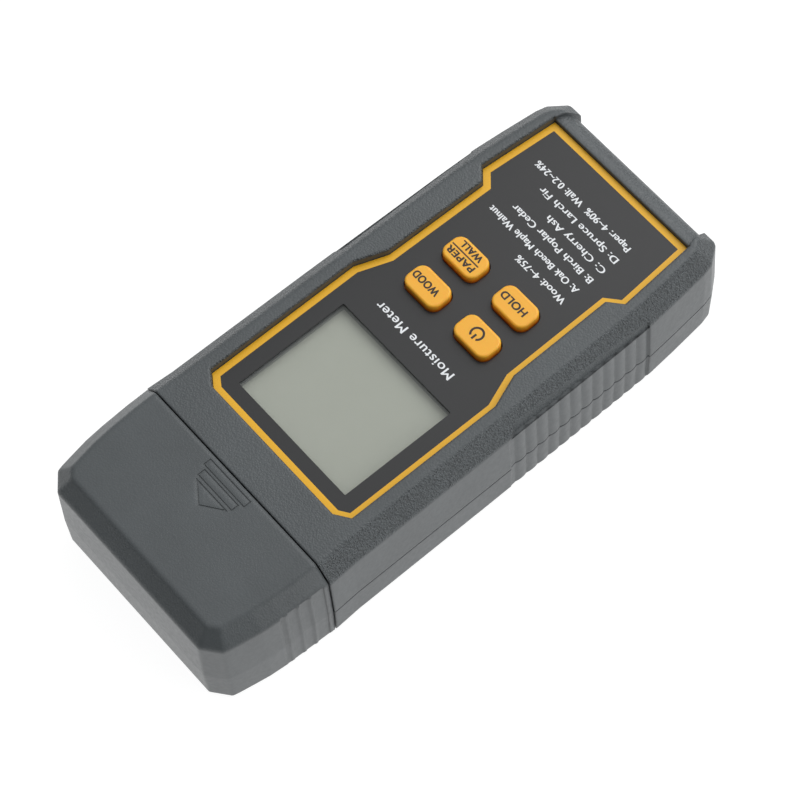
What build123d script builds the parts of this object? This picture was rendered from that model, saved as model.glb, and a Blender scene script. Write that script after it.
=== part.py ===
from build123d import *
import os
from math import sin, cos, tan, radians

# A hand-held two-pin moisture meter, lying on its back. +Z is out of its face, +Y points
# towards the pins under the pull-off cap, and +X is the right-hand side of its display.
# The origin is the middle of its footprint, on the surface it lies on. Millimetres.

# ---- driving dimensions ----
BODY_END = -73.2          # the two ends of the whole meter
CAP_END = 74.7
HEIGHT = 28.4             # back to the rim round the face
PARTING_Z = 10.6          # where the two case halves meet
PARTING_GAP = 0.3        # shadow line between them
SEAM_Y = 44.15            # end of the body, where the cap starts
CAP_GAP = 0.35            # open line between body and cap
BEVEL_HEIGHT = 4.0        # sloped shoulder round the face
BEVEL_TAPER = 43.2        # degrees from vertical
SIDE_TAPER = 1.0          # draft of the side walls above the parting line, degrees
LOW_TAPER = 1.8           # and below it
FLOOR = 2.4
FACE_Z = 26.0             # floor of the recess that the label lies in
FACE_WALL = 1.7
FACE_LIP = 0.5            # rounding of the rim of that recess
BODY_EDGE = 1.8           # rounding of the outside edges
CAP_EDGE = 1.1

NECK_LENGTH = 12.0        # collar that the cap slides over
NECK_CLEAR = 0.4
CAP_WALL = 2.1

FLUTE_COUNT = 12
FLUTE_PITCH = 3.27
FLUTE_START = -8.5        # first groove, the rest run towards -Y
FLUTE_BULGE = 0.36
GRIP_TOP_Z = 23.7         # where the flutes stop
GRIP_LINE_Z = 27.0        # above the set-in part of the shoulder over the flutes
RIBS = [46.4, 49.4, 52.6, 55.8]
RIB_END = 57.2

END_HALF = (22.2, 20.6)   # half width between the end corners, at the face and at the end
END_DEPTH = 1.3           # set-back of the end wall between them
END_TOP = 27.3            # and the height of its top
END_ROUND = 4.6

LABEL_THICK = 0.3
LABEL_GAP = 0.15
LABEL_HALF = [(20.4, 34.0), (23.8, 31.7), (23.8, -8.5), (20.8, -16.4),
              (20.4, -43.5), (23.7, -46.3), (22.2, -66.5)]
SCREEN = (36.2, 29.8)     # window in the label
SCREEN_Y = 14.0
LENS = (38.2, 31.8, 1.0)
LENS_Z = 24.9

KEY_SIZE = (10.8, 6.8)
KEY_CORNER = 2.3
KEY_PLACES = {"wood": (8.3, -17.0), "paper_wall": (8.3, -28.0),
              "power": (-8.3, -17.0), "hold": (-8.3, -28.0)}
KEY_TOP = 28.2
KEY_GAP = 0.3
FLANGE_Z = (22.9, 24.1)   # the rim that keeps a key inside the case
WEB_WALL = 0.5
WEB_SIZE = (13.4, 9.4)

BOARD_Z = (16.0, 17.6)
BOARD_HALF = 25.2
BOARD_Y = (-44.0, 33.5)
MAT_TOP = 18.5

LCD_Z = (22.1, 24.1)
LCD_SIZE = (40.0, 34.0)
FRAME_WALL = 1.1

CELL_RADIUS = 5.25
CELL_LENGTH = 44.5
CELL_PITCH = 10.9
CELL_Z = 8.05
BAY_HALF = 16.7
BAY_Y = (-68.2, -17.2)
BAY_ROOF = (13.7, 14.9)
BAY_WALL = 1.4
PLATE = 0.4

DOOR_HALF = 16.4
DOOR_Y = (-71.7, -15.2)
DOOR_THICK = 2.2
TONGUE_REACH = 1.7
TONGUE_Z = (0.9, 1.6)
SLIDE_CLEAR = 0.1

PIN_X = 12.5
PIN_Z = 13.2
PIN_RADIUS = 1.0
PIN_Y = (46.0, 67.0)
BLOCK_HALF = 18.5
BLOCK_Z = (7.7, 18.7)
BLOCK_FRONT = 56.8
NECK_WALL = 2.4           # front wall of the collar

CASE_SCREWS = [(24.0, 37.2), (-24.0, 37.2), (22.3, -62.0), (-22.3, -62.0)]
BOARD_SCREWS = [(23.4, 26.0), (-23.4, 26.0), (23.4, -38.0), (-23.4, -38.0)]

top_inside = FACE_Z - FACE_WALL
bevel_z = HEIGHT - BEVEL_HEIGHT
cap_mouth = SEAM_Y + CAP_GAP
neck_end = SEAM_Y + NECK_LENGTH

# +X halves of the outlines at the parting line, from the seam side round to the far end
BODY_HALF = [(0, 54), (31.7, 54), (31.6, 43.5), (31.25, 37.5), (31.0, 0.0), (30.5, -40.0),
             (30.25, -49.0), (29.65, -56.0), (28.6, -66.0), (27.9, -68.8), (24.4, BODY_END),
             (0, BODY_END)]
HOLLOW_HALF = [(0, 41.4), (28.2, 41.4), (27.6, -5.0), (26.3, -10.0), (26.2, -50.0),
               (25.9, -62.0), (24.4, -67.6), (21.5, -69.9), (0, -69.9)]
CAP_HALF = [(0, 34), (31.45, 34), (31.3, 50.0), (30.95, 57.0), (30.5, 62.0), (29.9, 65.5),
            (29.15, 69.6), (28.7, 71.3), (24.4, CAP_END), (0, CAP_END)]
NECK_HALF = [(0, 38), (28.55, 38), (28.15, 60), (0, 60)]


# ---- shared helpers ----
def mirrored_face(half):
    """A flat face at z 0 from the outline of its +X half."""
    points = list(half) + [(-x, y) for x, y in reversed(half) if x > 0]
    return make_face(Polyline(*reversed(points), close=True))


def grown(face, amount):
    """The face with its outline moved out by amount, or in where it is negative."""
    return offset(face, amount=amount, kind=Kind.INTERSECTION)


def slab(face, z0, z1, taper=0.0):
    """Extrudes a face that lies at z 0 from z0 to z1, drawing in by taper degrees."""
    return extrude(Pos(0, 0, z0) * face, amount=z1 - z0, dir=(0, 0, 1), taper=taper)


def block(x0, x1, y0, y1, z0, z1):
    box = Box(x1 - x0, y1 - y0, z1 - z0)
    return Pos((x0 + x1) / 2, (y0 + y1) / 2, (z0 + z1) / 2) * box


def post(x, y, radius, z0, z1):
    return Pos(x, y, (z0 + z1) / 2) * Cylinder(radius, z1 - z0)


def rod_y(x, z, radius, y0, y1):
    """A round bar along Y."""
    return Pos(x, (y0 + y1) / 2, z) * Rot(90, 0, 0) * Cylinder(radius, y1 - y0)


def pad(x, y, size, radius, z0, z1, taper=0.0):
    """An upright slab with a rounded-rectangle outline."""
    return slab(Pos(x, y, 0) * RectangleRounded(size[0], size[1], radius), z0, z1, taper)


def soften(shape, edges, radius):
    """Rounds the edges together, at the largest share of radius that works."""
    for share in (1.0, 0.7, 0.45, 0.25):
        try:
            rounded = fillet(edges, radius * share)
            if rounded.is_valid:
                return rounded
        except Exception:
            continue
    print("left sharp:", len(edges), "edges")
    return shape


def level_edges(shape, z, reach=0.01):
    """Edges that lie flat at height z."""
    return shape.edges().filter_by(lambda e: abs(e.bounding_box().min.Z - z) < reach
                                   and abs(e.bounding_box().max.Z - z) < reach)


def seam_edges(shape, y, reach=0.01):
    """Edges that lie in the upright plane at y."""
    return shape.edges().filter_by(lambda e: abs(e.bounding_box().min.Y - y) < reach
                                   and abs(e.bounding_box().max.Y - y) < reach)


def each(shape):
    """Both mirror images across the middle of the meter."""
    return [shape, mirror(shape, Plane.YZ)]


def group(solids):
    """Separate solids that are written as one node."""
    return Compound(children=[s for shape in solids for s in shape.solids()])


def above(z):
    return block(-60, 60, -100, 100, z, 60)


def below(z):
    return block(-60, 60, -100, 100, -5, z)


def write(name, shape):
    shape.label = name
    export_step(shape, f"parts/{name}.step")


# ---- outer forms ----
def drafted(face, z0, z1, taper):
    """A prism on the face, whose outline draws in by taper degrees on its way from z0 to z1."""
    end = grown(face, -abs(z1 - z0) * tan(radians(taper)))
    return loft([Pos(0, 0, z0) * face.face(), Pos(0, 0, z1) * end.face()], ruled=True), end


def moulding(half, z0, z_shoulder, z1):
    """Drafted body whose sides lean out to the parting line, with a bevelled shoulder."""
    face = mirrored_face(half) if isinstance(half, list) else half
    upper, shoulder = drafted(face, PARTING_Z, z_shoulder, SIDE_TAPER)
    crown = drafted(shoulder, z_shoulder, z1, BEVEL_TAPER)[0]
    lower = drafted(face, PARTING_Z, z0, LOW_TAPER)[0]
    return upper + crown + lower


def outer_edges(shape, seam_y, corners_from):
    """Every edge of a moulding but those of its seam and parting line. Of the standing
    edges, only those further from the middle of the meter than corners_from."""
    chosen = []
    for edge in shape.edges():
        box = edge.bounding_box()
        on_seam = abs(box.min.Y - seam_y) < 0.01 and abs(box.max.Y - seam_y) < 0.01
        standing = box.size.Z > 1.5
        flat_at_parting = not standing and abs(edge.center().Z - PARTING_Z) < 0.01
        if on_seam or flat_at_parting or (standing and abs(edge.center().Y) < corners_from):
            continue
        chosen.append(edge)
    return chosen


def leaning(face, up, down):
    """A cutter that follows the draft of the +X side, from the parting line up and down."""
    face = Pos(0, 0, PARTING_Z) * face
    a, b = radians(SIDE_TAPER), radians(LOW_TAPER)
    rise = extrude(face, amount=up, dir=(-sin(a), 0, cos(a)))
    drop = extrude(face, amount=down, dir=(-sin(b), 0, -cos(b)))
    return rise, drop


def grip_x(y):
    """Where the grooves of the flutes lie at the parting line, a little inside the wall."""
    return 30.25 + (y + 8.5) * 0.012


def grip_cutter():
    """Leaves a set-in panel of upright convex flutes that stop at a sloped shelf."""
    points = [(grip_x(FLUTE_START - n * FLUTE_PITCH), FLUTE_START - n * FLUTE_PITCH)
              for n in range(FLUTE_COUNT + 1)]
    (x0, y0), (x1, y1) = points[0], points[-1]
    lines = [Polyline((x1, y1), (x1 + 0.15, y1 - 0.3), (x1 + 5, y1 - 1.6), (x0 + 5, y0 + 4.0),
                      (x0 + 0.25, y0 + 1.6), (x0, y0))]
    for a, b in zip(points, points[1:]):
        crest = ((a[0] + b[0]) / 2 + FLUTE_BULGE, (a[1] + b[1]) / 2)
        lines.append(ThreePointArc(a, crest, b))
    rise, drop = leaning(make_face(Curve() + lines), GRIP_TOP_Z - PARTING_Z, 14)
    z0, z1 = GRIP_TOP_Z, GRIP_LINE_Z
    steep = make_face(Polyline((x0 - 0.55, y0 + 1.6, z0), (x0 - 0.55 - (z1 - z0) * 0.31, y0 + 1.6, z1),
                               (x0 + 6, y0 + 1.6, z1), (x0 + 6, y0 + 1.6, z0), close=True))
    along = extrude(steep, amount=y0 - y1 + 1.9, dir=(x1 - x0 + 0.45, y1 - y0, 0))
    slope = Plane(origin=(x0, y0 + 1.4, z0), x_dir=(1, 0, 0), z_dir=(0, 1, 1))
    return rise + drop + split(along, slope, keep=Keep.BOTTOM)


def rib_cutter():
    """Sets in a panel on the side of the cap and leaves thin upright thumb ribs on it."""
    inner = [(31.05, SEAM_Y + 1.6)]
    for y in RIBS[1:]:
        x = 31.05 - (y - SEAM_Y) * 0.028
        inner += [(x, y - 0.55), (x + 0.42, y - 0.15), (x + 0.42, y + 0.15), (x, y + 0.55)]
    inner += [(30.62, RIB_END), (36, RIB_END + 2.5), (36, SEAM_Y + 0.8)]
    rise, drop = leaning(make_face(Polyline(*inner, close=True)), 14, 14)
    return rise + drop


def body_form():
    """The whole outside of the body, before it is parted and hollowed."""
    form = moulding(BODY_HALF, 0, bevel_z, HEIGHT) & block(-60, 60, -100, SEAM_Y, -5, 60)
    form = soften(form, outer_edges(form, SEAM_Y, 60), BODY_EDGE)
    y = BODY_END + END_DEPTH
    back = LABEL_HALF[-1][1] - LABEL_GAP
    section = make_face(Plane.YZ * (Curve() + [
        Polyline((y + END_ROUND, END_TOP), (back, END_TOP), (back, 40), (-90, 40), (-90, -5),
                 (y, -5), (y, END_TOP - END_ROUND)),
        ThreePointArc((y, END_TOP - END_ROUND),
                      (y + END_ROUND * (1 - cos(radians(45))),
                       END_TOP - END_ROUND * (1 - sin(radians(45)))),
                      (y + END_ROUND, END_TOP))]))
    wide, narrow = END_HALF
    between = mirrored_face([(0, back), (wide, back), (narrow, BODY_END), (narrow - 2, -90),
                             (0, -90)])
    form = form - (extrude(section, amount=40, both=True) & slab(between, -6, 41))
    for cutter in each(grip_cutter()):
        form = form - cutter
    return form


def cap_form():
    form = moulding(CAP_HALF, 0, bevel_z, HEIGHT) & block(-60, 60, cap_mouth, 100, -5, 60)
    form = soften(form, outer_edges(form, cap_mouth, 0), CAP_EDGE)
    for cutter in each(rib_cutter()):
        form = form - cutter
    return form


# ---- case halves ----
def case_outside():
    neck = moulding(NECK_HALF, 2.1 + NECK_CLEAR, 22.9, 26.3 - NECK_CLEAR)
    neck = neck & block(-60, 60, 38.5, neck_end, -5, 60)
    return body_form() + neck


def case_hollow():
    face = mirrored_face(HOLLOW_HALF)
    room = slab(face, FLOOR, 20.5)
    room = room + drafted(face, 20.5, top_inside, BEVEL_TAPER)[0]
    y0, y1 = SEAM_Y - 6, neck_end - NECK_WALL
    neck_room = block(-26.2, 26.2, y0, y1, 4.4, 20.0) + block(-24.0, 24.0, y0, y1, 19, 23.6)
    return room + neck_room


def block_hole():
    gap = SLIDE_CLEAR
    return block(-BLOCK_HALF - gap, BLOCK_HALF + gap, 45, 60, BLOCK_Z[0] - gap, BLOCK_Z[1] + gap)


def lip_edges(shell):
    """The rim of the label's recess, but for its low side at the end of the body."""
    return level_edges(shell, HEIGHT).filter_by(
        lambda e: abs(e.center().X) < 24.3 and -66 < e.center().Y < 34.6)


def upper_shell(outside, hollow):
    shell = outside & above(PARTING_Z)
    shell = shell - hollow - block_hole()
    for x, y in CASE_SCREWS:
        shell = shell + post(x, y, 3.2, PARTING_Z, top_inside + 0.3)
    for x, y in BOARD_SCREWS:
        shell = shell + post(x, y, 1.9, BOARD_Z[1], top_inside + 0.3)
    rebate = slab(grown(mirrored_face(HOLLOW_HALF), 1.15), PARTING_Z - 1, PARTING_Z + 1.2)
    shell = shell - (rebate & block(-60, 60, -100, 33.4, -5, 60))
    for x, y in CASE_SCREWS:
        shell = shell + (post(x, y, 3.2, PARTING_Z, 12) & block(-27, 27, -66, 60, -5, 60))
        shell = shell - post(x, y, 1.1, PARTING_Z - 1, 16)
    for x, y in BOARD_SCREWS:
        shell = shell - post(x, y, 0.85, BOARD_Z[1] - 1, 22)
    label = grown(mirrored_face(LABEL_HALF), LABEL_GAP)
    shell = shell - slab(label, FACE_Z, HEIGHT + 5)
    shell = soften(shell, lip_edges(shell), FACE_LIP)
    shell = shell - pad(0, SCREEN_Y, (LENS[0] + 0.2, LENS[1] + 0.2), 0.6, LENS_Z, HEIGHT)
    shell = shell - pad(0, SCREEN_Y, (SCREEN[0] + 0.6, SCREEN[1] + 0.6), 0.4, 20, HEIGHT)
    for x, y in KEY_PLACES.values():
        size = (KEY_SIZE[0] + 2 * KEY_GAP, KEY_SIZE[1] + 2 * KEY_GAP)
        shell = shell - pad(x, y, size, KEY_CORNER + KEY_GAP, 20, HEIGHT)
    return shell


def lower_shell(outside, hollow):
    rim = PARTING_Z - PARTING_GAP
    shell = outside & below(rim)
    y0, y1 = BAY_Y
    shell = shell - hollow - block_hole()
    tongue = grown(mirrored_face(HOLLOW_HALF), 1.0) - mirrored_face(HOLLOW_HALF)
    shell = shell + (slab(tongue, rim - 1, PARTING_Z + 1.0) & block(-60, 60, -100, 33.2, -5, 60))
    shell = shell + block(-BAY_HALF - BAY_WALL, BAY_HALF + BAY_WALL, y0 - BAY_WALL, y1 + BAY_WALL,
                          0.5, BAY_ROOF[1])
    for x, y in CASE_SCREWS:
        shell = shell + post(x, y, 3.6, 1, PARTING_Z)
    shell = shell - block(-BAY_HALF, BAY_HALF, y0, y1, -1, BAY_ROOF[0])
    gap = SLIDE_CLEAR
    shell = shell - block(-DOOR_HALF - gap, DOOR_HALF + gap, -80, DOOR_Y[1] + gap, -1,
                          DOOR_THICK + gap)
    reach = DOOR_HALF + TONGUE_REACH + gap
    shell = shell - block(-reach, reach, -80, DOOR_Y[1] + gap, TONGUE_Z[0] - gap,
                          TONGUE_Z[1] + gap)
    for x, y in CASE_SCREWS:
        shell = shell - post(x, y, 1.5, -1, 12) - post(x, y, 2.7, -1, 3.4)
    for x in (-CELL_PITCH, CELL_PITCH):
        shell = shell - block(x - 1.1, x + 1.1, y1 - 0.5, y1 + 3, 8.7, 9.4)
    return shell


# ---- pieces on the face ----
def face_label():
    label = slab(mirrored_face(LABEL_HALF), FACE_Z, FACE_Z + LABEL_THICK)
    label = label - pad(0, SCREEN_Y, SCREEN, 0.3, 20, 30)
    for x, y in KEY_PLACES.values():
        size = (KEY_SIZE[0] + 2 * KEY_GAP, KEY_SIZE[1] + 2 * KEY_GAP)
        label = label - pad(x, y, size, KEY_CORNER + KEY_GAP, 20, 30)
    return label


def key(x, y):
    top = pad(x, y, KEY_SIZE, KEY_CORNER, FLANGE_Z[1] - 0.5, KEY_TOP)
    top = soften(top, level_edges(top, KEY_TOP), 0.55)
    rim = pad(x, y, (KEY_SIZE[0] + 2.0, KEY_SIZE[1] + 1.8), KEY_CORNER + 0.8, *FLANGE_Z)
    return top + rim + pad(x, y, (5.0, 3.4), 0.6, MAT_TOP + 0.4, FLANGE_Z[0] + 0.2)


def key_pill(x, y):
    return pad(x, y, (4.4, 2.8), 0.5, MAT_TOP + 0.1, MAT_TOP + 0.4)


def key_web(x, y):
    """Thin sloping wall that carries a key and folds as it goes down."""
    inner = (WEB_SIZE[0] - 2 * WEB_WALL, WEB_SIZE[1] - 2 * WEB_WALL)
    web = pad(x, y, WEB_SIZE, 2.8, MAT_TOP, FLANGE_Z[0], 10)
    return web - pad(x, y, inner, 2.3, MAT_TOP, FLANGE_Z[0], 10)


def keypad_mat():
    mat = pad(0, -22.5, (33.0, 24.0), 2.0, BOARD_Z[1], MAT_TOP)
    inner = (WEB_SIZE[0] - 2 * WEB_WALL, WEB_SIZE[1] - 2 * WEB_WALL)
    for x, y in KEY_PLACES.values():
        mat = mat - pad(x, y, inner, 2.3, BOARD_Z[1] - 1, MAT_TOP + 1)
    return mat


# ---- display ----
def lcd_frame():
    half_x, half_y = LCD_SIZE[0] / 2 + 0.1, LCD_SIZE[1] / 2 + 0.1
    y0, y1 = SCREEN_Y - half_y, SCREEN_Y + half_y
    wall = FRAME_WALL
    frame = block(-half_x - wall, half_x + wall, y0 - wall, y1 + wall, BOARD_Z[1], LCD_Z[1])
    frame = frame - block(-half_x, half_x, y0, y1, BOARD_Z[1] - 1, 30)
    for ledge in each(block(half_x - 1.8, half_x, y0 + 3, y1 - 3, BOARD_Z[1], 20.9)):
        frame = frame + ledge
    return frame


def zebra_strips():
    ends = []
    for y in (SCREEN_Y - LCD_SIZE[1] / 2 + 1.2, SCREEN_Y + LCD_SIZE[1] / 2 - 1.2):
        ends.append(block(-17.5, 17.5, y - 1, y + 1, BOARD_Z[1], LCD_Z[0]))
    return group(ends)


# ---- circuit board ----
def main_board():
    board = pad(0, sum(BOARD_Y) / 2, (2 * BOARD_HALF, BOARD_Y[1] - BOARD_Y[0]), 1.5, *BOARD_Z)
    for x, y in BOARD_SCREWS:
        board = board - post(x, y, 1.1, 10, 20)
    return board


def chip(x, y, size, legs, z_top, rows_y=True):
    """A flat package under the board with a row of legs down two or four sides."""
    w, d, h = size
    body = block(x - w / 2, x + w / 2, y - d / 2, y + d / 2, z_top - 0.2 - h, z_top - 0.2)
    pitch = d / (legs + 1)
    for n in range(legs):
        v = y - d / 2 + pitch * (n + 1)
        body = body + block(x - w / 2 - 0.9, x + w / 2 + 0.9, v - 0.2, v + 0.2,
                            z_top - 0.5, z_top)
    if rows_y:
        pitch = w / (legs + 1)
        for n in range(legs):
            u = x - w / 2 + pitch * (n + 1)
            body = body + block(u - 0.2, u + 0.2, y - d / 2 - 0.9, y + d / 2 + 0.9,
                                z_top - 0.5, z_top)
    return body


def resistors():
    places = [(-20, -2), (-20, 2), (-20, 6), (-8, -6), (-4, -6), (0, -6), (10, 22), (10, 18),
              (-6, 20), (-6, 24), (20, -4), (20, 0)]
    return group([block(x - 1.0, x + 1.0, y - 0.6, y + 0.6, BOARD_Z[0] - 0.6, BOARD_Z[0])
                  for x, y in places])


def capacitors():
    made = []
    for x, y in [(-17.5, 24.0), (18.0, 24.0)]:
        can = post(x, y, 3.1, BOARD_Z[0] - 7.0, BOARD_Z[0])
        made.append(soften(can, level_edges(can, BOARD_Z[0] - 7.0), 0.5))
    return group(made)


def crystal():
    can = pad(2.0, 24.5, (9.0, 3.8), 1.85, BOARD_Z[0] - 3.4, BOARD_Z[0] - 0.4)
    return can + pad(2.0, 24.5, (10.2, 4.6), 2.2, BOARD_Z[0] - 0.6, BOARD_Z[0])


def buzzer():
    can = post(13.5, 7.0, 6.0, BOARD_Z[0] - 5.5, BOARD_Z[0])
    can = soften(can, level_edges(can, BOARD_Z[0] - 5.5), 0.5)
    return can - post(13.5, 7.0, 1.0, BOARD_Z[0] - 6, BOARD_Z[0] - 4.5)


def screw(x, y, z_head, head, radius, length):
    """Pan-head screw pointing up, its head below z_head, with a cross recess."""
    body = post(x, y, head[0], z_head - head[1], z_head)
    body = soften(body, level_edges(body, z_head - head[1]), 0.4)
    slot = 0.28 * head[0]
    arm = 0.62 * head[0]
    cross = (block(x - arm, x + arm, y - slot / 2, y + slot / 2, z_head - head[1] - 1,
                   z_head - head[1] + 0.8)
             + block(x - slot / 2, x + slot / 2, y - arm, y + arm, z_head - head[1] - 1,
                     z_head - head[1] + 0.8))
    shank = post(x, y, radius, z_head - 0.1, z_head + length - 1.0)
    tip = Pos(x, y, z_head + length - 0.5) * Cone(radius, radius * 0.4, 1.0)
    return (body - cross) + shank + tip


def lead(points, leave, radius=0.6):
    """Insulated wire along a smooth line through the points, arriving straight up."""
    path = Spline(*points, tangents=[leave, (0, 0, 1)])
    return sweep(Plane(origin=path @ 0, z_dir=path % 0) * Circle(radius), path=path)


# ---- pins ----
def pin_block():
    front = block(-BLOCK_HALF, BLOCK_HALF, 52, BLOCK_FRONT, *BLOCK_Z)
    front = soften(front, seam_edges(front, BLOCK_FRONT), 0.5)
    rear_wall = neck_end - NECK_WALL
    flange = block(-BLOCK_HALF - 1.5, BLOCK_HALF + 1.5, 50.4, rear_wall - SLIDE_CLEAR,
                   BLOCK_Z[0] - 1.5, BLOCK_Z[1] + 1.5)
    made = front + flange
    for x in (-PIN_X, PIN_X):
        made = made - rod_y(x, PIN_Z, PIN_RADIUS, 45, 60)
    return made


def probe_pins():
    made = []
    y0, y1 = PIN_Y
    for x in (-PIN_X, PIN_X):
        tip = Pos(x, y1 - 1.75, PIN_Z) * Rot(-90, 0, 0) * Cone(PIN_RADIUS, 0.12, 3.5)
        made.append(rod_y(x, PIN_Z, PIN_RADIUS, y0, y1 - 3.5) + tip)
    return group(made)


def pin_collars():
    made = []
    for x in (-PIN_X, PIN_X):
        nut = Pos(x, BLOCK_FRONT + 0.8, PIN_Z) * Rot(90, 0, 0) * extrude(
            RegularPolygon(2.7, 6), amount=0.8, both=True)
        made.append(nut - rod_y(x, PIN_Z, PIN_RADIUS, 50, 65))
    return group(made)


# ---- batteries ----
def cell_spans():
    """For each cell its x, the y of its flat end and the direction of its button."""
    rear, front = BAY_Y[0] + PLATE, BAY_Y[1] - PLATE
    return [(-CELL_PITCH, front - CELL_LENGTH, 1), (0, rear + CELL_LENGTH, -1),
            (CELL_PITCH, front - CELL_LENGTH, 1)]


def battery_cells():
    made = []
    for x, y, way in cell_spans():
        shoulder = y + way * (CELL_LENGTH - 0.9)
        can = rod_y(x, CELL_Z, CELL_RADIUS, *sorted((y, shoulder)))
        can = soften(can, can.edges().filter_by(GeomType.CIRCLE), 0.4)
        button = rod_y(x, CELL_Z, 1.9, *sorted((shoulder - way * 0.2, y + way * CELL_LENGTH)))
        made.append(can + button)
    return group(made)


def spring_contacts():
    made = []
    wire = 0.35
    room = BAY_Y[1] - BAY_Y[0] - 2 * PLATE - CELL_LENGTH
    for x, y, way in cell_spans():
        coil = Helix(pitch=(room - 2 * wire) / 4, height=room - 2 * wire, radius=3.6,
                     cone_angle=-8)
        turn = sweep(Plane(origin=coil @ 0, z_dir=coil % 0) * Circle(wire), path=coil)
        made.append(Pos(x, y - way * (room - wire), CELL_Z) * Rot(-90 * way, 0, 0) * turn)
    return group(made)


def plate_contacts():
    made = []
    for x, y, way in cell_spans():
        for wall, inward in ((BAY_Y[0], 1), (BAY_Y[1], -1)):
            y0, y1 = sorted((wall, wall + inward * PLATE))
            plate = block(x - 4.4, x + 4.4, y0, y1, 4.2, 12.0)
            if wall == BAY_Y[1] and x != 0:
                plate = plate + block(x - 1.0, x + 1.0, y0, wall + 2.2, 8.8, 9.3)
            made.append(plate)
    return group(made)


def battery_door():
    y0, y1 = DOOR_Y
    door = block(-DOOR_HALF, DOOR_HALF, y0, y1, 0, DOOR_THICK)
    for tongue in each(block(DOOR_HALF - 1, DOOR_HALF + TONGUE_REACH, y0 + 0.5, y1, *TONGUE_Z)):
        door = door + tongue
    for n in range(6):
        y = y0 + 7.0 + n * 1.7
        door = door - pad(0, y, (16.0 - n * 1.2, 0.8), 0.39, -1, 0.5)
    head = make_face(Polyline((-3.5, y0 + 21.5), (3.5, y0 + 21.5), (0, y0 + 18.0), close=True))
    return door - slab(head, -1, 0.4)


# ---- cap ----
def pin_cap():
    inner = grown(mirrored_face(CAP_HALF), -CAP_WALL)
    room = moulding(inner, 2.1, 22.9, 26.3)
    cap = cap_form() - (room & block(-60, 60, cap_mouth - 1, 100, -5, 60))
    shapes = [[(-6.8, 45.6), (6.8, 45.6), (6.8, 47.4), (-6.8, 47.4)],
              [(-5.7, 48.1), (5.7, 48.1), (5.7, 49.9), (-5.7, 49.9)],
              [(-4.9, 50.8), (4.9, 50.8), (0, 54.3)]]
    for points in shapes:
        outline = make_face(Polyline(*points, close=True))
        ring = grown(outline, 0.15) - grown(outline, -0.15)
        cap = cap - slab(ring, HEIGHT - 0.2, HEIGHT + 1)
    return cap


# ---- build ----
os.makedirs("parts", exist_ok=True)
outside = case_outside()
hollow = case_hollow()
write("upper_shell", upper_shell(outside, hollow))
write("lower_shell", lower_shell(outside, hollow))
write("case_screws", group([screw(x, y, 3.4, (2.4, 1.6), 1.25, 10.5) for x, y in CASE_SCREWS]))

write("face_label", face_label())
write("lcd_window", pad(0, SCREEN_Y, LENS[:2], 0.5, LENS_Z, LENS_Z + LENS[2]))
write("lcd_glass", block(-LCD_SIZE[0] / 2, LCD_SIZE[0] / 2, SCREEN_Y - LCD_SIZE[1] / 2,
                         SCREEN_Y + LCD_SIZE[1] / 2, *LCD_Z))
write("lcd_diffuser", block(-19.9, 19.9, SCREEN_Y - 14, SCREEN_Y + 14, 20.9, LCD_Z[0]))
write("lcd_frame", lcd_frame())
write("zebra_strips", zebra_strips())

for name, (x, y) in KEY_PLACES.items():
    write(f"{name}_key", key(x, y))
    write(f"{name}_pill", key_pill(x, y))
    write(f"{name}_web", key_web(x, y))
write("keypad_mat", keypad_mat())

write("main_board", main_board())
write("board_screws", group([screw(x, y, BOARD_Z[0], (1.8, 1.1), 0.95, 5.5)
                             for x, y in BOARD_SCREWS]))
write("mcu_chip", chip(1.0, 10.0, (10.0, 10.0, 1.4), 8, BOARD_Z[0]))
write("amplifier_chip", chip(-14.0, 12.0, (4.0, 5.0, 1.4), 4, BOARD_Z[0], rows_y=False))
write("resistors", resistors())
write("capacitors", capacitors())
write("crystal", crystal())
write("buzzer", buzzer())

write("pin_block", pin_block())
write("probe_pins", probe_pins())
write("pin_collars", pin_collars())
write("pin_leads", group(each(lead([(PIN_X, PIN_Y[0], PIN_Z), (12.4, 43.0, 13.0),
                                    (10.5, 35.0, 12.2), (9.0, 31.0, BOARD_Z[0])],
                                   (0, -1, 0)))))

write("battery_cells", battery_cells())
write("spring_contacts", spring_contacts())
write("plate_contacts", plate_contacts())
write("cell_foam", block(-14, 14, -56, -34, CELL_Z + CELL_RADIUS + 0.05, BAY_ROOF[0]))
write("battery_leads", group(each(lead([(CELL_PITCH, BAY_Y[1] + 2.2, 9.05), (10.6, -12.4, 9.6),
                                        (9.0, -10.0, 12.6), (8.6, -9.6, BOARD_Z[0])],
                                       (0, 1, 0)))))
write("battery_door", battery_door())
write("pin_cap", pin_cap())
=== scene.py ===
import bpy, bmesh, math
from mathutils import Vector, Matrix


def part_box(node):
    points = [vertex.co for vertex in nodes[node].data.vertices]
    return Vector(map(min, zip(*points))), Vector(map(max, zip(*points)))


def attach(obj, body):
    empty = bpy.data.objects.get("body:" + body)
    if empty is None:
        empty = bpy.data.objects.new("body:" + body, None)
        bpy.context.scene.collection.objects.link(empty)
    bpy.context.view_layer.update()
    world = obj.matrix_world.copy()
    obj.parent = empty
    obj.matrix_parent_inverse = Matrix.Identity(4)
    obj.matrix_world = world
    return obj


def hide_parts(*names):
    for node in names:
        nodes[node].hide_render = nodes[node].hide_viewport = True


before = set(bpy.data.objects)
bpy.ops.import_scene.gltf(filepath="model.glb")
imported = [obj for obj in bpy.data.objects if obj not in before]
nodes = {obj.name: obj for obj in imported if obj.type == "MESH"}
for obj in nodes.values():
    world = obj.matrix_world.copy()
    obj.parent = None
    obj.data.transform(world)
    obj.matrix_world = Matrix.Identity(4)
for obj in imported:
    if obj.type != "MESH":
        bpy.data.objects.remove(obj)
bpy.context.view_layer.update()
mm = 0.001
print("frame loaded:", len(nodes), "parts")


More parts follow.
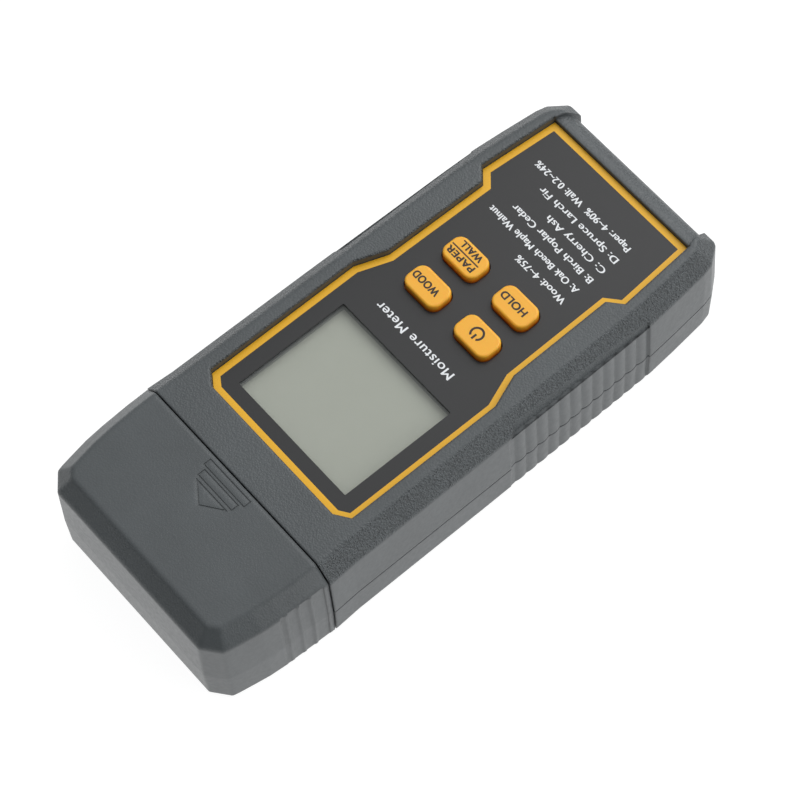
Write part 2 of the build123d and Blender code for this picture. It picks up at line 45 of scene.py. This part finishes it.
def newMaterial(name):
    mat = bpy.data.materials.new(name)
    mat.use_nodes = True
    tree = mat.node_tree
    tree.nodes.clear()
    out = tree.nodes.new("ShaderNodeOutputMaterial")
    skin = tree.nodes.new("ShaderNodeBsdfPrincipled")
    tree.links.new(skin.outputs[0], out.inputs[0])
    coord = tree.nodes.new("ShaderNodeTexCoord")
    return mat, tree, skin, coord.outputs["Object"]


def addNode(tree, kind, **values):
    node = tree.nodes.new(kind)
    for key, value in values.items():
        if key in node.inputs:
            node.inputs[key].default_value = value
        else:
            setattr(node, key, value)
    return node


def noiseField(tree, coord, scale, detail=3.0, rough=0.55, stretch=None):
    if stretch:
        mapping = addNode(tree, "ShaderNodeMapping")
        mapping.inputs["Scale"].default_value = stretch
        tree.links.new(coord, mapping.inputs["Vector"])
        coord = mapping.outputs[0]
    noise = addNode(tree, "ShaderNodeTexNoise", Scale=scale, Detail=detail, Roughness=rough)
    tree.links.new(coord, noise.inputs["Vector"])
    return noise.outputs["Fac"]


def colorBand(tree, fac, stops):
    ramp = tree.nodes.new("ShaderNodeValToRGB")
    ramp.color_ramp.elements[0].position = stops[0][0]
    ramp.color_ramp.elements[0].color = (*stops[0][1], 1)
    ramp.color_ramp.elements[1].position = stops[-1][0]
    ramp.color_ramp.elements[1].color = (*stops[-1][1], 1)
    for place, color in stops[1:-1]:
        stop = ramp.color_ramp.elements.new(place)
        stop.color = (*color, 1)
    tree.links.new(fac, ramp.inputs[0])
    return ramp.outputs["Color"]


def remap(tree, value, low, high, toLow, toHigh):
    node = addNode(tree, "ShaderNodeMapRange")
    for key, number in (("From Min", low), ("From Max", high), ("To Min", toLow), ("To Max", toHigh)):
        node.inputs[key].default_value = number
    tree.links.new(value, node.inputs["Value"])
    return node.outputs[0]


def mathOf(tree, operation, a, b):
    node = addNode(tree, "ShaderNodeMath", operation=operation)
    for n, value in enumerate((a, b)):
        if isinstance(value, (int, float)):
            node.inputs[n].default_value = value
        else:
            tree.links.new(value, node.inputs[n])
    return node.outputs[0]


def bumpOn(tree, skin, height, distance, strength=1.0, normal=None):
    bump = addNode(tree, "ShaderNodeBump", Distance=distance)
    if isinstance(strength, (int, float)):
        bump.inputs["Strength"].default_value = strength
    else:
        tree.links.new(strength, bump.inputs["Strength"])
    tree.links.new(height, bump.inputs["Height"])
    if normal is not None:
        tree.links.new(normal, bump.inputs["Normal"])
    tree.links.new(bump.outputs[0], skin.inputs["Normal"])
    return bump.outputs[0]


# slate plastic of the case, moulded with a leather grain: deep on the sloped shoulder, shallow on the
# face, almost gone on the walls
def casePlastic(name, look):
    mat, tree, skin, coord = newMaterial(name)
    geometry = tree.nodes.new("ShaderNodeNewGeometry")
    parts = tree.nodes.new("ShaderNodeSeparateXYZ")
    tree.links.new(geometry.outputs["True Normal"], parts.inputs[0])
    up = mathOf(tree, "ABSOLUTE", parts.outputs["Z"], 0.0)
    rise = remap(tree, up, 0.15, 0.45, look["wallGrain"], look["shoulderGrain"])
    fall = remap(tree, up, 0.82, 0.985, look["shoulderGrain"], look["faceGrain"])
    amount = mathOf(tree, "MINIMUM", rise, fall)
    warp = noiseField(tree, coord, look["grainScale"] * 0.4, 2)
    shifted = addNode(tree, "ShaderNodeVectorMath", operation="MULTIPLY_ADD")
    tree.links.new(warp, shifted.inputs[0])
    shifted.inputs[1].default_value = (0.0004, 0.0004, 0.0004)
    tree.links.new(coord, shifted.inputs[2])
    cells = addNode(tree, "ShaderNodeTexVoronoi", Scale=look["grainScale"], feature="SMOOTH_F1")
    cells.inputs["Smoothness"].default_value = 0.7
    tree.links.new(shifted.outputs[0], cells.inputs["Vector"])
    pebbles = remap(tree, cells.outputs["Distance"], 0.1, 0.75, 1.0, 0.0)
    fine = noiseField(tree, coord, look["grainScale"] * 1.4, 2, 0.6)
    coarse = mathOf(tree, "MULTIPLY", pebbles, 0.6)
    height = mathOf(tree, "ADD", coarse, mathOf(tree, "MULTIPLY", fine, 0.8))
    # the valleys of the grain are painted darker as painted shade and its peaks lighter as painted light,
    # and the whole tint drifts a little over the case
    drift = noiseField(tree, coord, 60, 4, 0.6)
    cloud = mathOf(tree, "MULTIPLY", mathOf(tree, "SUBTRACT", drift, 0.5), 0.5)
    # painted shade in the grain's valleys and painted light on its peaks, following the grain's height
    valleyShade = mathOf(tree, "MULTIPLY", mathOf(tree, "SUBTRACT", height, 0.58), amount)
    shade = mathOf(tree, "ADD", mathOf(tree, "ADD", cloud, mathOf(tree, "MULTIPLY", valleyShade, 1.2)), 0.5)
    dark = tuple(c * (1 - look["contrast"]) for c in look["tint"])
    light = tuple(c * (1 + look["contrast"]) for c in look["tint"])
    tint = colorBand(tree, shade, [(0.0, dark), (1.0, light)])
    tree.links.new(tint, skin.inputs["Base Color"])
    skin.inputs["Specular IOR Level"].default_value = look["specular"]
    dull, shiny = look["rough"] + 0.04, look["rough"] - 0.04
    rough = remap(tree, noiseField(tree, coord, 900, 2), 0.3, 0.7, shiny, dull)
    tree.links.new(rough, skin.inputs["Roughness"])
    worn = addNode(tree, "ShaderNodeBevel", Radius=look["edge"], samples=6)  # softens the moulded edges
    bumpOn(tree, skin, height, look["depth"], amount, worn.outputs[0])
    return mat


# edge is how far the moulded edges are softened, depth how deep the grain is, both in metres. A larger
# grainScale makes a finer grain
bodyLook = {"tint": (0.076, 0.085, 0.089), "contrast": 0.45, "edge": 0.0008, "specular": 0.5,
            "rough": 0.40, "depth": 0.00045, "grainScale": 2300,
            "shoulderGrain": 1.0, "faceGrain": 0.18, "wallGrain": 0.03}
capLook = dict(bodyLook, rough=0.36, shoulderGrain=0.10, faceGrain=0.07, wallGrain=0.03, edge=0.0014)
caseGrey = casePlastic("case_grained", bodyLook)
capGrey = casePlastic("cap_satin", capLook)
doorGrey = casePlastic("door_grained", dict(bodyLook, faceGrain=0.35))


# a plain material whose colour, gloss and surface all follow one fine noise
def simpleFinish(name, color, rough, metallic=0.0, grainScale=1500, depth=0.00002, vary=0.08,
                 stretch=None):
    mat, tree, skin, coord = newMaterial(name)
    field = noiseField(tree, coord, grainScale, 3, 0.6, stretch)
    low = tuple(max(0.0, c * (1 - vary)) for c in color)
    high = tuple(min(1.0, c * (1 + vary)) for c in color)
    tree.links.new(colorBand(tree, field, [(0.3, low), (0.7, high)]), skin.inputs["Base Color"])
    gloss = remap(tree, field, 0.3, 0.7, rough * 0.88, min(1.0, rough * 1.12))
    tree.links.new(gloss, skin.inputs["Roughness"])
    skin.inputs["Metallic"].default_value = metallic
    skin.inputs["Specular IOR Level"].default_value = 0.5
    bumpOn(tree, skin, field, depth, 0.5)
    return mat


labelBlack = simpleFinish("label_black", (0.0165, 0.0165, 0.0172), 0.42, 0.0, 4000, 0.000004, 0.06)
labelAmber = simpleFinish("label_amber", (0.88, 0.46, 0.010), 0.45, 0.0, 3000, 0.000004, 0.05)
printWhite = simpleFinish("print_white", (0.86, 0.88, 0.90), 0.5, 0.0, 6000, 0.000002, 0.08)
legendInk = simpleFinish("legend_ink", (0.022, 0.010, 0.006), 0.5, 0.0, 6000, 0.000002, 0.2)
boardGreen = simpleFinish("board_green", (0.01, 0.09, 0.035), 0.35, 0.0, 700, 0.00002, 0.2)
chipBlack = simpleFinish("chip_black", (0.012, 0.012, 0.013), 0.6)
blockBlack = simpleFinish("pin_block_black", (0.016, 0.016, 0.017), 0.5, 0.0, 1800, 0.00004)
whitePlastic = simpleFinish("white_plastic", (0.78, 0.78, 0.75), 0.5)
matGrey = simpleFinish("rubber_grey", (0.25, 0.26, 0.27), 0.7)
carbonBlack = simpleFinish("carbon_black", (0.012, 0.012, 0.012), 0.8, 0.0, 2500, 0.00005)
zincSteel = simpleFinish("zinc_steel", (0.56, 0.57, 0.58), 0.32, 1.0, 2500, 0.00001, 0.12)
pinSteel = simpleFinish("pin_steel", (0.68, 0.69, 0.70), 0.16, 1.0, 900, 0.000004, 0.06, (1, 0.05, 1))
brassGold = simpleFinish("turned_brass", (0.70, 0.47, 0.16), 0.28, 1.0, 1500, 0.00001, 0.08)
canMetal = simpleFinish("can_metal", (0.70, 0.71, 0.72), 0.35, 1.0)
wireRed = simpleFinish("wire_jacket", (0.42, 0.02, 0.015), 0.4)
cellJacket = simpleFinish("cell_jacket", (0.03, 0.07, 0.17), 0.3, 0.2, 300, 0.00002, 0.1)


# keys are a translucent rubber; their colour is painted lighter towards the top and a deeper orange down
# the sides, as painted light on the top and painted shade on the sides
def keyRubber():
    mat, tree, skin, coord = newMaterial("key_orange")
    parts = tree.nodes.new("ShaderNodeSeparateXYZ")
    tree.links.new(coord, parts.inputs[0])
    # painted light and shade: the colour runs from deep orange at the foot of the key to light orange at
    # its top
    depth = remap(tree, parts.outputs["Z"], 26.3 * mm, 27.5 * mm, 0.0, 1.0)
    speck = noiseField(tree, coord, 1800, 3)
    flecks = mathOf(tree, "MULTIPLY", mathOf(tree, "SUBTRACT", speck, 0.5), 0.12)
    mixed = mathOf(tree, "ADD", depth, flecks)
    tint = colorBand(tree, mixed, [(0.0, (0.78, 0.17, 0.004)), (0.5, (0.93, 0.33, 0.010)),
                                   (1.0, (0.98, 0.47, 0.030))])
    tree.links.new(tint, skin.inputs["Base Color"])
    skin.inputs["Roughness"].default_value = 0.42
    skin.inputs["Subsurface Weight"].default_value = 0.25
    skin.inputs["Subsurface Radius"].default_value = (1.0, 0.35, 0.08)
    skin.inputs["Subsurface Scale"].default_value = 0.0012
    bumpOn(tree, skin, speck, 0.00002, 0.5)
    return mat


keyOrange = keyRubber()


# the unlit display: grey-green, with a faint cloud over it
def displayGrey():
    mat, tree, skin, coord = newMaterial("display_grey")
    cloud = noiseField(tree, coord, 35, 2, 0.5)
    tint = colorBand(tree, cloud, [(0.25, (0.352, 0.368, 0.308)), (0.75, (0.370, 0.387, 0.326))])
    tree.links.new(tint, skin.inputs["Base Color"])
    skin.inputs["Roughness"].default_value = 0.35
    skin.inputs["Specular IOR Level"].default_value = 0.3
    fine = noiseField(tree, coord, 5000, 2)
    bumpOn(tree, skin, fine, 0.000002, 0.4)
    return mat


displayFace = displayGrey()


def clearPane():
    mat, tree, skin, coord = newMaterial("clear_pane")
    haze = noiseField(tree, coord, 400, 2)
    tree.links.new(colorBand(tree, haze, [(0.3, (0.80, 0.83, 0.80)), (0.7, (0.86, 0.88, 0.86))]),
                   skin.inputs["Base Color"])
    skin.inputs["Alpha"].default_value = 0.06
    skin.inputs["Roughness"].default_value = 0.12
    skin.inputs["Specular IOR Level"].default_value = 0.35
    return mat


pane = clearPane()
print("materials made")

finishes = {
    "upper_shell": caseGrey, "lower_shell": caseGrey, "pin_cap": capGrey, "battery_door": doorGrey,
    "face_label": labelBlack, "lcd_window": pane, "lcd_glass": displayFace, "lcd_frame": whitePlastic,
    "lcd_diffuser": whitePlastic, "zebra_strips": carbonBlack, "main_board": boardGreen,
    "mcu_chip": chipBlack, "amplifier_chip": chipBlack, "resistors": chipBlack, "buzzer": chipBlack,
    "capacitors": canMetal, "crystal": canMetal, "board_screws": zincSteel, "case_screws": zincSteel,
    "keypad_mat": matGrey, "pin_block": blockBlack, "probe_pins": pinSteel, "pin_collars": brassGold,
    "pin_leads": wireRed, "battery_leads": wireRed, "battery_cells": cellJacket,
    "cell_foam": carbonBlack, "spring_contacts": zincSteel, "plate_contacts": zincSteel}
for key in ("power", "hold", "wood", "paper_wall"):
    finishes.update({key + "_key": keyOrange, key + "_web": matGrey, key + "_pill": carbonBlack})
for name, mat in finishes.items():
    slots = nodes[name].data.materials
    if len(slots):
        for n in range(len(slots)):
            slots[n] = mat
    else:
        slots.append(mat)


# all in mm: outline is the right half of the label, from the pin end down, and top is the label's face.
# Ink stands a little proud of it and is rooted in it
labelPrint = {
    "outline": [(20.4, 34.0), (23.8, 31.7), (23.8, -8.5), (20.8, -16.4), (20.4, -43.5), (23.7, -46.3),
                (22.2, -66.5)],
    "borderWidth": 1.7, "borderRoot": 0.02, "top": 26.3, "ink": 0.02, "inkDepth": 0.03,
    "strikeStep": 0.0015, "capitalHeight": 0.729}


def linkMesh(name, bm, mat, body, smooth=False):
    mesh = bpy.data.meshes.new(name)
    bmesh.ops.recalc_face_normals(bm, faces=bm.faces)
    bm.to_mesh(mesh)
    bm.free()
    for face in mesh.polygons:
        face.use_smooth = smooth
    mesh.materials.append(mat)
    piece = bpy.data.objects.new(name, mesh)
    bpy.context.scene.collection.objects.link(piece)
    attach(piece, body)
    return piece


def insetPolygon(points, amount):
    count = len(points)
    inset = []
    for n in range(count):
        before, here, after = (Vector(points[(n + k) % count]) for k in (-1, 0, 1))
        first, second = (here - before).normalized(), (after - here).normalized()
        normal1, normal2 = Vector((-first.y, first.x)), Vector((-second.y, second.x))
        bisector = (normal1 + normal2).normalized()
        inset.append(here + bisector * (amount / max(0.2, bisector.dot(normal1))))
    return inset


def flatRing(outer, inner, low, high):
    bm = bmesh.new()
    loops = []
    for points, z in ((outer, low), (outer, high), (inner, high), (inner, low)):
        loops.append([bm.verts.new((p[0] * mm, p[1] * mm, z * mm)) for p in points])
    count = len(outer)
    for k in range(4):
        a, b = loops[k], loops[(k + 1) % 4]
        for n in range(count):
            bm.faces.new((a[n], a[(n + 1) % count], b[(n + 1) % count], b[n]))
    return bm


half = labelPrint["outline"]
outline = [(x, y) for x, y in reversed(half)] + [(-x, y) for x, y in half]  # runs anticlockwise
border = flatRing([Vector(p) for p in outline], insetPolygon(outline, labelPrint["borderWidth"]),
                  labelPrint["top"] - labelPrint["borderRoot"], labelPrint["top"] + labelPrint["ink"])
linkMesh("label_border", border, labelAmber, "case")


def printed(name, text, place, mat, body, strikes=(), z=None, spacing=1.0):
    # sets the text so that it fills place: left, right, baseline and height of a capital, in mm. The ink
    # is struck again at each of strikes, offsets in mm, which makes it bolder
    left, right, base, capital = place
    z = labelPrint["top"] if z is None else z
    curve = bpy.data.curves.new(name + "_line", "FONT")
    curve.body = text
    curve.size = 1.0
    curve.space_character = spacing
    holder = bpy.data.objects.new(name + "_line", curve)
    bpy.context.scene.collection.objects.link(holder)
    bpy.context.view_layer.update()
    mesh = bpy.data.meshes.new_from_object(holder.evaluated_get(bpy.context.evaluated_depsgraph_get()))
    bpy.data.objects.remove(holder)
    bpy.data.curves.remove(curve)
    xs = [v.co.x for v in mesh.vertices]
    scaleX, scaleY = (right - left) / (max(xs) - min(xs)), capital / labelPrint["capitalHeight"]
    lift = Matrix.Translation((left * mm, base * mm, (z + labelPrint["ink"]) * mm))
    squeeze = Matrix.Diagonal((scaleX * mm, scaleY * mm, 1, 1))
    mesh.transform(lift @ squeeze @ Matrix.Translation((-min(xs), 0, 0)))
    bm = bmesh.new()
    bm.from_mesh(mesh)
    bpy.data.meshes.remove(mesh)
    bmesh.ops.remove_doubles(bm, verts=bm.verts, dist=1e-7)
    grown = bmesh.ops.extrude_face_region(bm, geom=bm.faces[:])
    for item in grown["geom"]:
        if isinstance(item, bmesh.types.BMVert):
            item.co.z -= labelPrint["inkDepth"] * mm
    first = bm.verts[:] + bm.edges[:] + bm.faces[:]
    for n, (dx, dy) in enumerate(strikes):
        copy = bmesh.ops.duplicate(bm, geom=first)["geom"]
        for item in copy:
            if isinstance(item, bmesh.types.BMVert):
                item.co += Vector((dx, dy, -labelPrint["strikeStep"] * (n + 1))) * mm
    return linkMesh(name, bm, mat, body)


# the words and the place of each: left, right, baseline and height of a capital, in mm
lines = {
    "title": ("Moisture Meter", (-11.6, 13.1, -7.6, 2.3)),
    "line_wood": ("Wood: 4~75%", (-13.9, 1.6, -37.9, 1.75)),
    "line_a": ("A: Oak Beech Maple Walnut", (-13.8, 15.2, -41.9, 1.75)),
    "line_b": ("B: Birch Poplar Cedar", (-14.0, 12.0, -45.9, 1.75)),
    "line_c": ("C: Cherry Ash", (-14.1, 4.7, -49.6, 1.75)),
    "line_d": ("D: Spruce Larch Fir", (-14.0, 11.3, -53.4, 1.75)),
    "line_ranges": ("Paper: 4~90%  Wall: 0.2~24%", (-13.6, 17.0, -57.3, 1.75))}
boldText = [(0.07, 0.0), (-0.07, 0.0)]
boldTitle = [(0.05, 0.02), (-0.05, -0.02)]
for name, (text, place) in lines.items():
    strikes, spacing = (boldTitle, 1.1) if name == "title" else (boldText, 1.04)
    printed("print_" + name, text, place, printWhite, "case", strikes, None, spacing)
# the display sits deeper than the label; a dark grey ring laid on its edge is painted shade of the
# window's recess, and shows past the far sides of the window
displayRecessShade = {"wide": 40.0, "deep": 34.0, "inner": (35.9, 29.4), "y": 14.0, "thick": 0.05}
recessShadeGrey = simpleFinish("display_edge_grey", (0.20, 0.21, 0.19), 0.5, 0.0, 2500, 0.000004)
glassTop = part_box("lcd_glass")[1][2] / mm


def cornersOf(wide, deep, y):
    return [Vector((x * wide / 2, y + k * deep / 2)) for x, k in ((-1, -1), (1, -1), (1, 1), (-1, 1))]


# painted shade: a thin dark ring on top of the display glass, round the window
edge = flatRing(cornersOf(displayRecessShade["wide"], displayRecessShade["deep"], displayRecessShade["y"]),
                cornersOf(*displayRecessShade["inner"], displayRecessShade["y"]), glassTop,
                glassTop + displayRecessShade["thick"])
linkMesh("display_edge", edge, recessShadeGrey, "case")
print("label printed")

keyTop, strokeDepth = 28.2, 0.04
boldKey = [(0.09, 0.05), (-0.09, -0.05), (0.09, -0.05), (-0.09, 0.05)]
keyWords = {"wood": [("WOOD", (5.2, 12.9, -18.0, 1.9))],
            "hold": [("HOLD", (-11.4, -3.9, -29.0, 1.9))],
            "paper_wall": [("PAPER", (4.6, 12.9, -27.6, 1.7)), ("WALL", (5.2, 11.6, -30.6, 1.7))]}
for key, words in keyWords.items():
    for n, (text, place) in enumerate(words):
        printed(f"legend_{key}_{n}", text, place, legendInk, key + "_button", boldKey,
                keyTop, 1.06)


def discStroke(bm, start, stop, radius, width, z, steps=40):
    # a flat curved stroke, angles in degrees
    rows = []
    for n in range(steps + 1):
        angle = math.radians(start + (stop - start) * n / steps)
        ends = []
        inside, outside, under = radius - width / 2, radius + width / 2, z - strokeDepth
        for r, h in ((inside, z), (outside, z), (outside, under), (inside, under)):
            ends.append(bm.verts.new((r * math.cos(angle) * mm, r * math.sin(angle) * mm, h * mm)))
        rows.append(ends)
    for a, b in zip(rows, rows[1:]):
        for k in range(4):
            bm.faces.new((a[k], a[(k + 1) % 4], b[(k + 1) % 4], b[k]))
    bm.faces.new(rows[0][::-1])
    bm.faces.new(rows[-1])


symbol = {"x": -8.0, "y": -17.2, "radius": 1.5, "stroke": 0.52, "start": 125, "stop": 415,
          "barLong": 1.5, "barMiddle": 0.95}
bm = bmesh.new()
discStroke(bm, symbol["start"], symbol["stop"], symbol["radius"], symbol["stroke"],
           keyTop + strokeDepth / 2)
bar = bmesh.ops.create_cube(bm, size=1.0)["verts"]
for v in bar:
    v.co = Vector((v.co.x * symbol["stroke"], v.co.y * symbol["barLong"] + symbol["barMiddle"],
                   keyTop + v.co.z * strokeDepth)) * mm
for v in bm.verts:
    v.co += Vector((symbol["x"] * mm, symbol["y"] * mm, 0))
linkMesh("legend_power", bm, legendInk, "power_button")

divider = {"x": 8.7, "y": -28.25, "long": 8.6, "wide": 0.32}
bm = bmesh.new()
bar = bmesh.ops.create_cube(bm, size=1.0)["verts"]
for v in bar:
    v.co = Vector((v.co.x * divider["long"] + divider["x"], v.co.y * divider["wide"] + divider["y"],
                   keyTop + v.co.z * strokeDepth)) * mm
linkMesh("legend_divider", bm, legendInk, "paper_wall_button")
print("keys printed")


# adds an input to a geometry node tree, and returns the identifier that a modifier sets it by
def groupInput(tree, name, kind, value=None):
    socket = tree.interface.new_socket(name, in_out="INPUT", socket_type=kind)
    if value is not None:
        socket.default_value = value
    return socket.identifier


def panHeadTree(name):
    # one screw is a rounded head with a cross cut in it and a shank, put on every point, turned at random
    tree = bpy.data.node_groups.new(name, "GeometryNodeTree")
    tree.interface.new_socket("Geometry", in_out="INPUT", socket_type="NodeSocketGeometry")
    keys = {}
    for label, value in (("Head Radius", 0.0024), ("Head Height", 0.0016), ("Shank Radius", 0.00125),
                         ("Shank Length", 0.01)):
        keys[label] = groupInput(tree, label, "NodeSocketFloat", value)
    keys["Seed"] = groupInput(tree, "Seed", "NodeSocketInt", 1)
    keys["Finish"] = groupInput(tree, "Finish", "NodeSocketMaterial")
    tree.interface.new_socket("Geometry", in_out="OUTPUT", socket_type="NodeSocketGeometry")
    given = tree.nodes.new("NodeGroupInput").outputs
    link = tree.links.new

    def scaled(socket, factor):
        return mathOf(tree, "MULTIPLY", socket, factor)

    def cone(low, high, depth, lift, sides=40):
        node = addNode(tree, "GeometryNodeMeshCone", Vertices=sides)
        link(low, node.inputs["Radius Bottom"])
        link(high, node.inputs["Radius Top"])
        link(depth, node.inputs["Depth"])
        move = tree.nodes.new("GeometryNodeTransform")
        place = tree.nodes.new("ShaderNodeCombineXYZ")
        link(lift, place.inputs["Z"])
        link(node.outputs["Mesh"], move.inputs["Geometry"])
        link(place.outputs[0], move.inputs["Translation"])
        return move.outputs[0]

    def slotCutter(wide, long):
        size = tree.nodes.new("ShaderNodeCombineXYZ")
        link(scaled(given["Head Radius"], wide), size.inputs["X"])
        link(scaled(given["Head Radius"], long), size.inputs["Y"])
        link(scaled(given["Head Height"], 1.1), size.inputs["Z"])
        cube = tree.nodes.new("GeometryNodeMeshCube")
        link(size.outputs[0], cube.inputs["Size"])
        return cube.outputs["Mesh"]

    # z = 0 is the outside of the head, and the screw runs up from there
    rimStart = scaled(given["Head Height"], 0.12)
    brow = cone(scaled(given["Head Radius"], 0.72), scaled(given["Head Radius"], 0.9), rimStart,
                scaled(given["Head Height"], 0.0))
    rim = cone(scaled(given["Head Radius"], 0.9), given["Head Radius"], scaled(given["Head Height"], 0.2),
               rimStart)
    drum = cone(given["Head Radius"], given["Head Radius"], scaled(given["Head Height"], 0.7),
                scaled(given["Head Height"], 0.3))
    shank = cone(given["Shank Radius"], given["Shank Radius"], given["Shank Length"],
                 scaled(given["Head Height"], 0.98), 24)
    solid = addNode(tree, "GeometryNodeMeshBoolean", operation="UNION")
    for part in (brow, rim, drum, shank):
        link(part, solid.inputs["Mesh 2"])
    cut = addNode(tree, "GeometryNodeMeshBoolean", operation="DIFFERENCE")
    link(solid.outputs["Mesh"], cut.inputs["Mesh 1"])
    link(slotCutter(0.28, 1.25), cut.inputs["Mesh 2"])
    link(slotCutter(1.25, 0.28), cut.inputs["Mesh 2"])
    turn = addNode(tree, "FunctionNodeRandomValue", data_type="FLOAT_VECTOR")
    turn.inputs["Min"].default_value = (0, 0, 0)
    turn.inputs["Max"].default_value = (0, 0, math.pi / 2)
    link(given["Seed"], turn.inputs["Seed"])
    spread = tree.nodes.new("GeometryNodeInstanceOnPoints")
    link(given["Geometry"], spread.inputs["Points"])
    link(cut.outputs["Mesh"], spread.inputs["Instance"])
    link(turn.outputs["Value"], spread.inputs["Rotation"])
    real = tree.nodes.new("GeometryNodeRealizeInstances")
    link(spread.outputs[0], real.inputs[0])
    finish = tree.nodes.new("GeometryNodeSetMaterial")
    link(real.outputs[0], finish.inputs["Geometry"])
    link(given["Finish"], finish.inputs["Material"])
    link(finish.outputs[0], tree.nodes.new("NodeGroupOutput").inputs[0])
    return tree, keys


def bakedOnPoints(name, points, tree, keys, values):
    # runs the tree on loose points and keeps the result as a plain mesh
    mesh = bpy.data.meshes.new(name + "_points")
    mesh.from_pydata(points, [], [])
    holder = bpy.data.objects.new(name + "_points", mesh)
    bpy.context.scene.collection.objects.link(holder)
    modifier = holder.modifiers.new("set_out", "NODES")
    modifier.node_group = tree
    for label, value in values.items():
        modifier[keys[label]] = value
    bpy.context.view_layer.update()
    made = bpy.data.meshes.new_from_object(holder.evaluated_get(bpy.context.evaluated_depsgraph_get()))
    holder.modifiers.remove(modifier)
    bpy.data.objects.remove(holder)
    return made


screwSets = {
    "case_screws": {"points": [(0.024, 0.0372), (-0.024, 0.0372), (0.0223, -0.062), (-0.0223, -0.062)],
                    "Head Radius": 0.0024, "Head Height": 0.0016, "Shank Radius": 0.00125,
                    "Shank Length": 0.0102, "Seed": 4},
    "board_screws": {"points": [(0.0234, 0.026), (-0.0234, 0.026), (0.0234, -0.038), (-0.0234, -0.038)],
                     "Head Radius": 0.0018, "Head Height": 0.0011, "Shank Radius": 0.00095,
                     "Shank Length": 0.0052, "Seed": 9}}
screwTree, screwKeys = panHeadTree("pan_head_screws")
for node, look in screwSets.items():
    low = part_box(node)[0]
    places = [(x, y, low[2]) for x, y in look["points"]]
    values = {key: value for key, value in look.items() if key != "points"}
    values["Finish"] = zincSteel
    mesh = bakedOnPoints(node, places, screwTree, screwKeys, values)
    piece = bpy.data.objects.new(node + "_set", mesh)
    bpy.context.scene.collection.objects.link(piece)
    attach(piece, "case")
    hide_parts(node)
    print(node, "set out:", len(mesh.polygons), "faces")


# a white sheet that glows enough to stay clean under soft light, in metres
studioFloor = {"reach": 3.0, "height": -0.0002, "glow": 0.92, "dim": 0.21, "bright": 0.24}


def plainFloor():
    bm = bmesh.new()
    reach = studioFloor["reach"]
    for x, y in ((-reach, -reach), (reach, -reach), (reach, reach), (-reach, reach)):
        bm.verts.new((x, y, studioFloor["height"]))
    bm.faces.new(bm.verts)
    mesh = bpy.data.meshes.new("studio_floor")
    bm.to_mesh(mesh)
    bm.free()
    floor = bpy.data.objects.new("studio_floor", mesh)
    bpy.context.scene.collection.objects.link(floor)
    mat, tree, skin, coord = newMaterial("studio_white")
    paper = noiseField(tree, coord, 2.0, 2)
    tones = [(0.3, (studioFloor["dim"],) * 3), (0.7, (studioFloor["bright"],) * 3)]
    tree.links.new(colorBand(tree, paper, tones), skin.inputs["Base Color"])
    skin.inputs["Roughness"].default_value = 0.9
    skin.inputs["Specular IOR Level"].default_value = 0.0
    skin.inputs["Emission Color"].default_value = (1, 1, 1, 1)
    skin.inputs["Emission Strength"].default_value = studioFloor["glow"]
    mesh.materials.append(mat)


plainFloor()


def softLight(name, spot, target, size, power):
    lamp = bpy.data.lights.new(name, "AREA")
    lamp.shape = "RECTANGLE"
    lamp.size, lamp.size_y = size
    lamp.energy = power
    holder = bpy.data.objects.new(name, lamp)
    bpy.context.scene.collection.objects.link(holder)
    holder.location = spot
    holder.rotation_euler = (Vector(target) - Vector(spot)).to_track_quat("-Z", "Y").to_euler()


softLight("side_light", (-1.3, -0.45, 0.55), (0, 0, 0), (0.9, 0.7), 3.8)
softLight("top_light", (0.15, -0.95, 1.1), (0, 0, 0), (1.1, 1.1), 10.5)


def paleTent(dim, bright, toward):
    # a white tent round the table: bright overhead, dimmer on the side away from toward
    world = bpy.data.worlds.new("studio")
    bpy.context.scene.world = world
    world.use_nodes = True
    tree = world.node_tree
    coord = tree.nodes.new("ShaderNodeTexCoord")
    facing = addNode(tree, "ShaderNodeVectorMath", operation="DOT_PRODUCT")
    tree.links.new(coord.outputs["Generated"], facing.inputs[0])
    facing.inputs[1].default_value = Vector(toward).normalized()
    ramp = addNode(tree, "ShaderNodeMapRange", interpolation_type="SMOOTHSTEP")
    for key, number in (("From Min", -0.25), ("From Max", 0.85), ("To Min", dim), ("To Max", bright)):
        ramp.inputs[key].default_value = number
    tree.links.new(facing.outputs["Value"], ramp.inputs["Value"])
    tree.links.new(ramp.outputs[0], tree.nodes["Background"].inputs["Strength"])
    tree.nodes["Background"].inputs["Color"].default_value = (0.97, 0.985, 1.0, 1)


paleTent(0.08, 0.69, (0.2, -0.5, 0.85))
bpy.context.scene.view_settings.view_transform = "Standard"

lens = bpy.data.cameras.new("camera")
camera = bpy.data.objects.new("camera", lens)
bpy.context.scene.collection.objects.link(camera)
# where the camera stands, in metres, which way it faces, and its lens, in mm
stand = {"spot": (-0.28804, 0.20259, 0.68074), "right": (-0.64564209, -0.7622489, -0.04607499),
         "down": (-0.66315943, 0.58958268, -0.46109851), "ahead": (0.37863685, -0.26714954, -0.88615194),
         "sensor": 36.0, "reach": 3411.035 / 800}
turn = Matrix((Vector(stand["right"]), -Vector(stand["down"]), -Vector(stand["ahead"]))).transposed()
camera.matrix_world = Matrix.Translation(stand["spot"]) @ turn.to_4x4()
lens.sensor_width = stand["sensor"]
lens.lens = stand["reach"] * stand["sensor"]
lens.clip_start, lens.clip_end = 0.01, 20
bpy.context.scene.camera = camera
print("studio ready")
